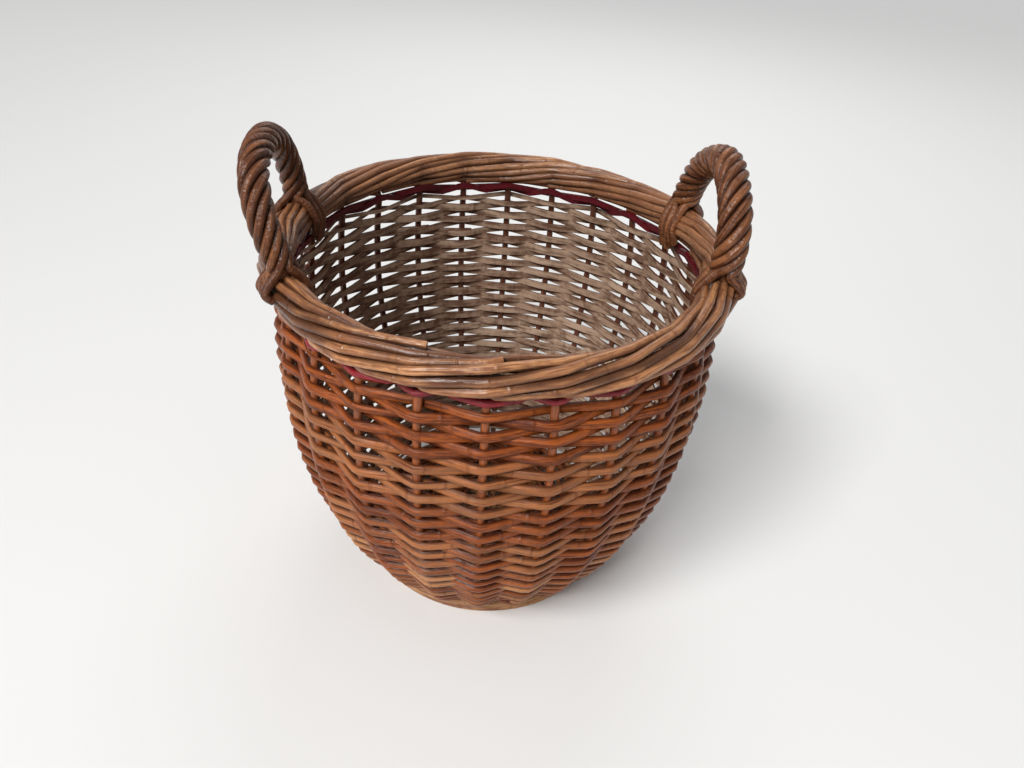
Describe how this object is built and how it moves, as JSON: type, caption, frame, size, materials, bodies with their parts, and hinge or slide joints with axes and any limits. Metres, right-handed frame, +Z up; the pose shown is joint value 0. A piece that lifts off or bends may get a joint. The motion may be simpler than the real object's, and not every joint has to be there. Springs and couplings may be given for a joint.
{
  "type": "willow basket",
  "caption": "Round woven willow basket, bellied, with a rolled border, a red band below it and two twisted rope handles.",
  "frame": {"origin": "on the floor, under the middle of the base", "axes": "+Z up, the two handles near the X axis, the front towards -Y"},
  "size_m": [0.3604, 0.36, 0.3839],
  "materials": {
    "peeled_rods": "satin peeled willow",
    "side_weave": "satin buff willow, split rods",
    "border_rods": "satin buff willow, whole rods",
    "red_band": "dyed red willow, satin",
    "handle_rods": "brown willow, glossy bark"
  },
  "bodies": {
    "root": {"base_stick_1": "peeled_rods", "base_stick_2": "peeled_rods", "base_stick_3": "peeled_rods", "base_stick_4": "peeled_rods", "base_stick_5": "peeled_rods", "base_stick_6": "peeled_rods", "base_weaver_1": "side_weave", "base_weaver_2": "side_weave", "edge_weaver_1": "side_weave", "edge_weaver_2": "side_weave", "stake_01": "border_rods", "stake_02": "border_rods", "stake_03": "border_rods", "stake_04": "border_rods", "stake_05": "border_rods", "stake_06": "border_rods", "stake_07": "border_rods", "stake_08": "border_rods", "stake_09": "border_rods", "stake_10": "border_rods", "stake_11": "border_rods", "stake_12": "border_rods", "stake_13": "border_rods", "stake_14": "border_rods", "stake_15": "border_rods", "stake_16": "border_rods", "stake_17": "border_rods", "stake_18": "border_rods", "stake_19": "border_rods", "stake_20": "border_rods", "stake_21": "border_rods", "stake_22": "border_rods", "stake_23": "border_rods", "stake_24": "border_rods", "red_weaver_1": "red_band", "red_weaver_2": "red_band", "side_weaver_a1": "side_weave", "side_weaver_a2": "side_weave", "side_weaver_a3": "side_weave", "side_weaver_a4": "side_weave", "side_weaver_b1": "side_weave", "side_weaver_b2": "side_weave", "side_weaver_b3": "side_weave", "side_weaver_b4": "side_weave", "foot_rod_lower": "peeled_rods", "foot_rod_upper": "peeled_rods", "handle_right_bow": "handle_rods", "handle_right_strand_1": "handle_rods", "handle_right_strand_2": "handle_rods", "handle_right_strand_3": "handle_rods", "handle_right_strand_4": "handle_rods", "handle_right_strand_5": "handle_rods", "handle_right_strand_6": "handle_rods", "handle_left_bow": "handle_rods", "handle_left_strand_1": "handle_rods", "handle_left_strand_2": "handle_rods", "handle_left_strand_3": "handle_rods", "handle_left_strand_4": "handle_rods", "handle_left_strand_5": "handle_rods", "handle_left_strand_6": "handle_rods"}
  },
  "joints": []
}
